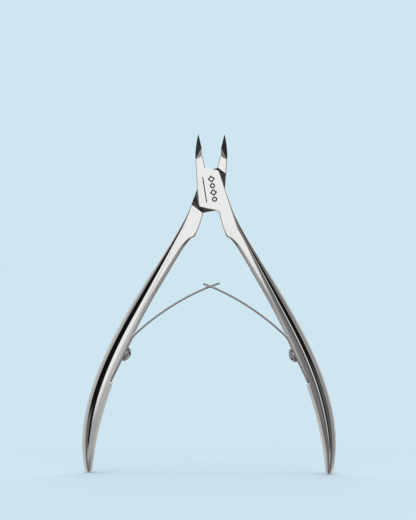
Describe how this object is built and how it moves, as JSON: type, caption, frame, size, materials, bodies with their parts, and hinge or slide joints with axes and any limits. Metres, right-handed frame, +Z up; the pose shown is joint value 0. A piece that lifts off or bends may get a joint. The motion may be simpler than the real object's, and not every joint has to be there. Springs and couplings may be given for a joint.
{
  "type": "cuticle nipper",
  "caption": "Hand nipper with two lapped levers on a pivot screw, pointed bevelled jaws, bowed handles and crossed leaf springs that hold it open.",
  "frame": {"origin": "on the floor midway between the two handle ends, under the pivot, with the nipper standing upright and open", "axes": "+Z up towards the jaws, +X from the left handle to the right handle, +Y from the front lap plate to the back lap plate"},
  "size_m": [0.0782, 0.0068, 0.1047],
  "materials": {
    "lever_steel": "mirror-polished stainless steel",
    "spring_steel": "bright rolled spring steel",
    "screw_steel": "turned steel with a slot"
  },
  "bodies": {
    "front_lever": {"front_lever": "lever_steel", "pivot_screw": "screw_steel", "right_spring_foot": "spring_steel", "right_spring_screw": "screw_steel"},
    "back_lever": {"back_lever": "lever_steel", "left_spring_foot": "spring_steel", "left_spring_screw": "screw_steel"},
    "right_spring": {"right_spring_blade": "spring_steel"},
    "left_spring": {"left_spring_blade": "spring_steel"}
  },
  "joints": [
    {"name": "closing", "type": "hinge", "parent": "front_lever", "child": "back_lever", "pos_m": [0, 0, 0.08752], "axis": [0, -1, 0], "range_deg": [0, 26.1], "stiffness_Nm_per_rad": 0.6, "springref_deg": -3.44},
    {"name": "right_spring_bend", "type": "hinge", "parent": "front_lever", "child": "right_spring", "pos_m": [0.02076, 0, 0.04484], "axis": [0, 1, 0], "range_deg": [0, 20.9]},
    {"name": "left_spring_bend", "type": "hinge", "parent": "back_lever", "child": "left_spring", "pos_m": [-0.02076, 0, 0.04484], "axis": [0, -1, 0], "range_deg": [0, 20.9]}
  ],
  "couplings": [
    {"joint": "right_spring_bend", "follows": "closing", "ratio": 0.8},
    {"joint": "left_spring_bend", "follows": "closing", "ratio": 0.8}
  ]
}
